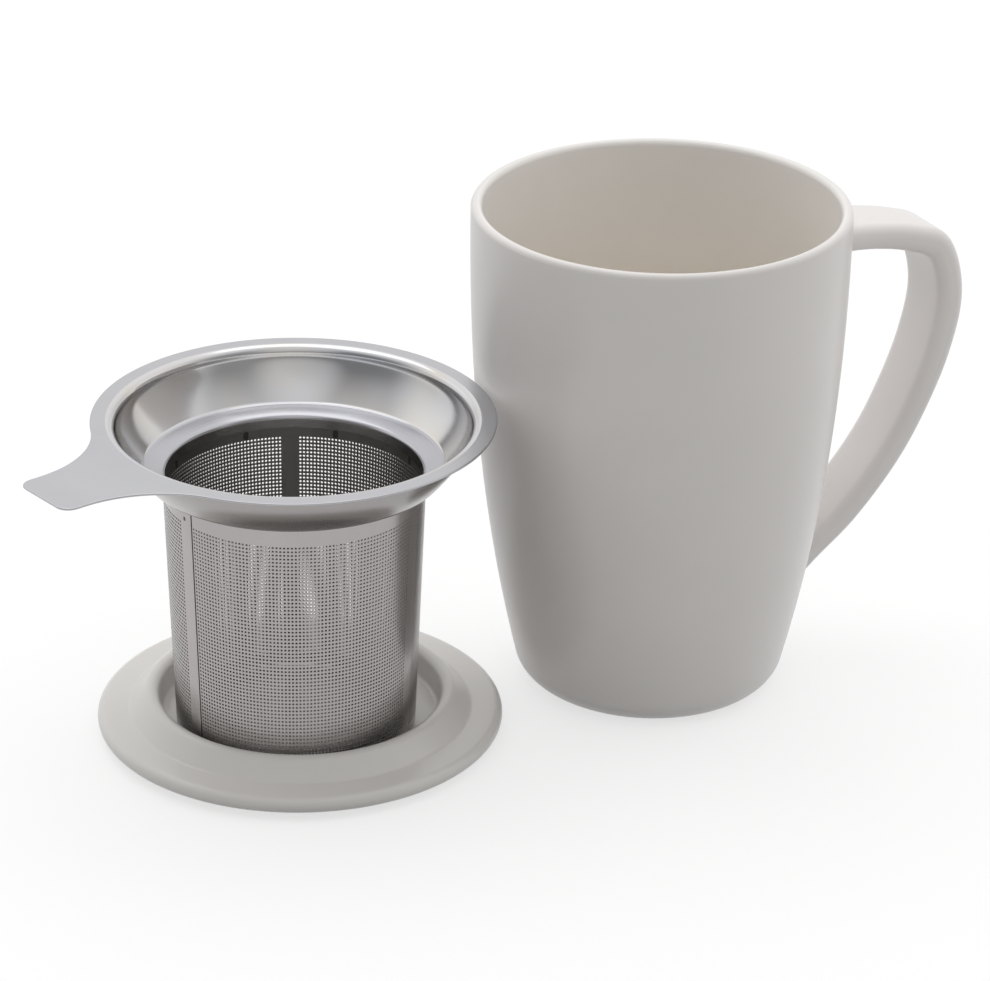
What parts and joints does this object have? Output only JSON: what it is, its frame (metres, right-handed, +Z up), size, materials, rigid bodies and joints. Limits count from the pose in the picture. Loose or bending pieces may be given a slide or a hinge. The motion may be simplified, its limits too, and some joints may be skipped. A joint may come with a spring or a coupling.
{
  "type": "lidded tea mug with infuser",
  "caption": "Tall porcelain tea mug with a strap handle, its loose round lid upside down as a saucer, and a tapered steel mesh infuser with a wide rim and lifting tab standing in the lid.",
  "frame": {"origin": "centre of the mug's foot, on the table", "axes": "+Z up along the mug's axis; +X to the right as seen from the front, with the handle 27.5 degrees behind it; the lid and infuser stand on the -X side, a little forward (-Y)"},
  "size_m": [0.2106, 0.1273, 0.118],
  "materials": {
    "mug_porcelain": "satin glaze, warm white",
    "lid_porcelain": "satin glaze, warm white",
    "polished_steel": "polished stainless steel, rim brushed satin",
    "perforated_steel": "etched stainless sheet with fine square-pitch holes"
  },
  "bodies": {
    "mug": {"mug_body": "mug_porcelain", "mug_handle": "mug_porcelain"},
    "lid": {"lid": "lid_porcelain"},
    "infuser": {"infuser_funnel": "polished_steel", "infuser_sleeve": "perforated_steel", "infuser_base": "perforated_steel"}
  },
  "joints": [
    {"name": "lid_lift", "type": "slide", "parent": "mug", "child": "lid", "axis": [-0.08, -0.034, 0.9962], "range_m": [0, 0.13]},
    {"name": "infuser_lift", "type": "slide", "parent": "lid", "child": "infuser", "axis": [0, 0, 1], "range_m": [0, 0.1]}
  ]
}
